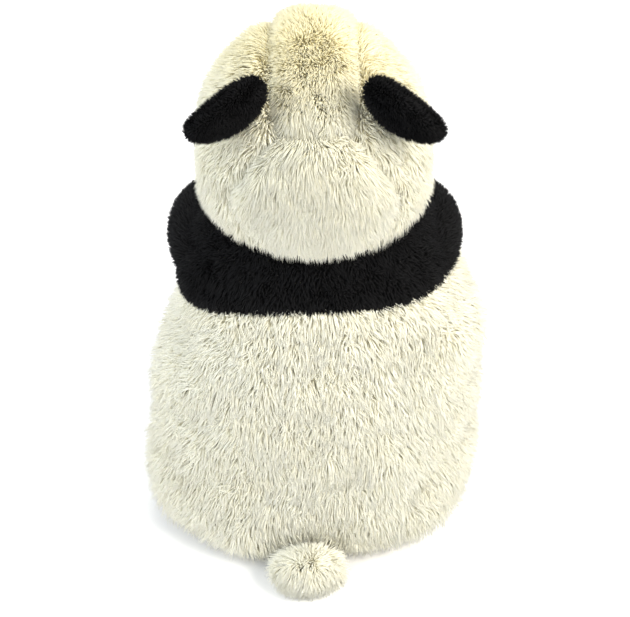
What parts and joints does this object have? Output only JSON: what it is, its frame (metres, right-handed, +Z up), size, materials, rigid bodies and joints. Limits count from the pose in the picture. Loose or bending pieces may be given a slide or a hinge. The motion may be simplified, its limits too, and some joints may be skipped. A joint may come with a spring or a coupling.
{
  "type": "plush panda",
  "caption": "Seated stuffed panda with a round cream head and body, black ears, arms, legs and shoulder band, and a small cream tail.",
  "frame": {"origin": "middle of the flat seat, on the surface the panda sits on", "axes": "+Z up, the face looks along -Y, the panda's left side is +X"},
  "size_m": [0.1918, 0.2433, 0.3357],
  "materials": {
    "cream_plush": "long fluffy pile, brushed",
    "black_plush": "short dense pile, soft sheen",
    "muzzle_plush": "short clipped pile",
    "black_velour": "velour, fine nap",
    "fibre_fill": "loose polyester fibre",
    "pouch_cloth": "plain woven cotton",
    "pellets": "moulded beans",
    "eye_plastic": "polished",
    "washer_plastic": "moulded",
    "embroidery": "satin stitch thread",
    "seam_tape": "doubled cloth with overlock thread"
  },
  "bodies": {
    "body": {"back_panel": "cream_plush", "belly_panel": "cream_plush", "seat_panel": "cream_plush", "shoulder_band": "black_plush", "body_stuffing": "fibre_fill", "pellet_pouch": "pouch_cloth", "pellet_fill": "pellets"},
    "neck": {"neck_seam": "seam_tape"},
    "head": {"head_side_left": "cream_plush", "head_side_right": "cream_plush", "crown_gusset": "cream_plush", "nape_panel": "cream_plush", "head_stuffing": "fibre_fill", "muzzle_cover": "muzzle_plush", "muzzle_stuffing": "fibre_fill", "nose": "black_velour", "mouth_stitch": "embroidery", "eye_patch_left": "black_plush", "eye_left": "eye_plastic", "eye_washer_left": "washer_plastic", "eye_patch_right": "black_plush", "eye_right": "eye_plastic", "eye_washer_right": "washer_plastic"},
    "tail": {"tail_cover": "cream_plush", "tail_stuffing": "fibre_fill"},
    "ear_left": {"ear_left_front": "black_plush", "ear_left_back": "black_plush", "ear_left_stuffing": "fibre_fill"},
    "arm_left_root": {"arm_left_seam": "seam_tape"},
    "arm_left": {"arm_left_outer": "black_plush", "arm_left_inner": "black_plush", "arm_left_stuffing": "fibre_fill"},
    "leg_left_root": {"leg_left_seam": "seam_tape"},
    "leg_left": {"leg_left_cover": "black_plush", "leg_left_sole": "black_velour", "leg_left_stuffing": "fibre_fill"},
    "ear_right": {"ear_right_front": "black_plush", "ear_right_back": "black_plush", "ear_right_stuffing": "fibre_fill"},
    "arm_right_root": {"arm_right_seam": "seam_tape"},
    "arm_right": {"arm_right_outer": "black_plush", "arm_right_inner": "black_plush", "arm_right_stuffing": "fibre_fill"},
    "leg_right_root": {"leg_right_seam": "seam_tape"},
    "leg_right": {"leg_right_cover": "black_plush", "leg_right_sole": "black_velour", "leg_right_stuffing": "fibre_fill"}
  },
  "joints": [
    {"name": "neck_turn", "type": "hinge", "parent": "body", "child": "neck", "pos_m": [0, -0.01, 0.258], "axis": [0, 0, 1], "range_deg": [-40, 40], "stiffness_Nm_per_rad": 0.35},
    {"name": "neck_nod", "type": "hinge", "parent": "neck", "child": "head", "pos_m": [0, -0.01, 0.258], "axis": [1, 0, 0], "range_deg": [-12, 12], "stiffness_Nm_per_rad": 0.6},
    {"name": "arm_left_swing", "type": "hinge", "parent": "body", "child": "arm_left_root", "pos_m": [0.064, -0.002, 0.183], "axis": [0, 0, 1], "range_deg": [0, 60], "stiffness_Nm_per_rad": 0.12},
    {"name": "arm_left_raise", "type": "hinge", "parent": "arm_left_root", "child": "arm_left", "pos_m": [0.064, -0.002, 0.183], "axis": [-1, 0, 0], "range_deg": [0, 30], "stiffness_Nm_per_rad": 0.5},
    {"name": "leg_left_swing", "type": "hinge", "parent": "body", "child": "leg_left_root", "pos_m": [0.06, -0.06, 0.028], "axis": [0, 0, 1], "range_deg": [-6, 22], "stiffness_Nm_per_rad": 0.12},
    {"name": "leg_left_lift", "type": "hinge", "parent": "leg_left_root", "child": "leg_left", "pos_m": [0.06, -0.06, 0.028], "axis": [-1, 0, 0], "range_deg": [0, 30], "stiffness_Nm_per_rad": 0.5},
    {"name": "ear_left_flex", "type": "hinge", "parent": "head", "child": "ear_left", "pos_m": [0.03819, 0.03758, 0.30398], "axis": [-0.731, -0.0691, 0.6789], "range_deg": [-25, 25], "stiffness_Nm_per_rad": 0.02},
    {"name": "arm_right_swing", "type": "hinge", "parent": "body", "child": "arm_right_root", "pos_m": [-0.064, -0.002, 0.183], "axis": [0, 0, -1], "range_deg": [0, 60], "stiffness_Nm_per_rad": 0.12},
    {"name": "arm_right_raise", "type": "hinge", "parent": "arm_right_root", "child": "arm_right", "pos_m": [-0.064, -0.002, 0.183], "axis": [-1, 0, 0], "range_deg": [0, 30], "stiffness_Nm_per_rad": 0.5},
    {"name": "leg_right_swing", "type": "hinge", "parent": "body", "child": "leg_right_root", "pos_m": [-0.06, -0.06, 0.028], "axis": [0, 0, -1], "range_deg": [-6, 22], "stiffness_Nm_per_rad": 0.12},
    {"name": "leg_right_lift", "type": "hinge", "parent": "leg_right_root", "child": "leg_right", "pos_m": [-0.06, -0.06, 0.028], "axis": [-1, 0, 0], "range_deg": [0, 30], "stiffness_Nm_per_rad": 0.5},
    {"name": "ear_right_flex", "type": "hinge", "parent": "head", "child": "ear_right", "pos_m": [-0.03819, 0.03758, 0.30398], "axis": [-0.731, 0.0691, -0.6789], "range_deg": [-25, 25], "stiffness_Nm_per_rad": 0.02},
    {"name": "tail_flex", "type": "hinge", "parent": "body", "child": "tail", "pos_m": [0, 0.0745, 0.02], "axis": [1, 0, 0], "range_deg": [0, 15], "stiffness_Nm_per_rad": 0.02}
  ]
}
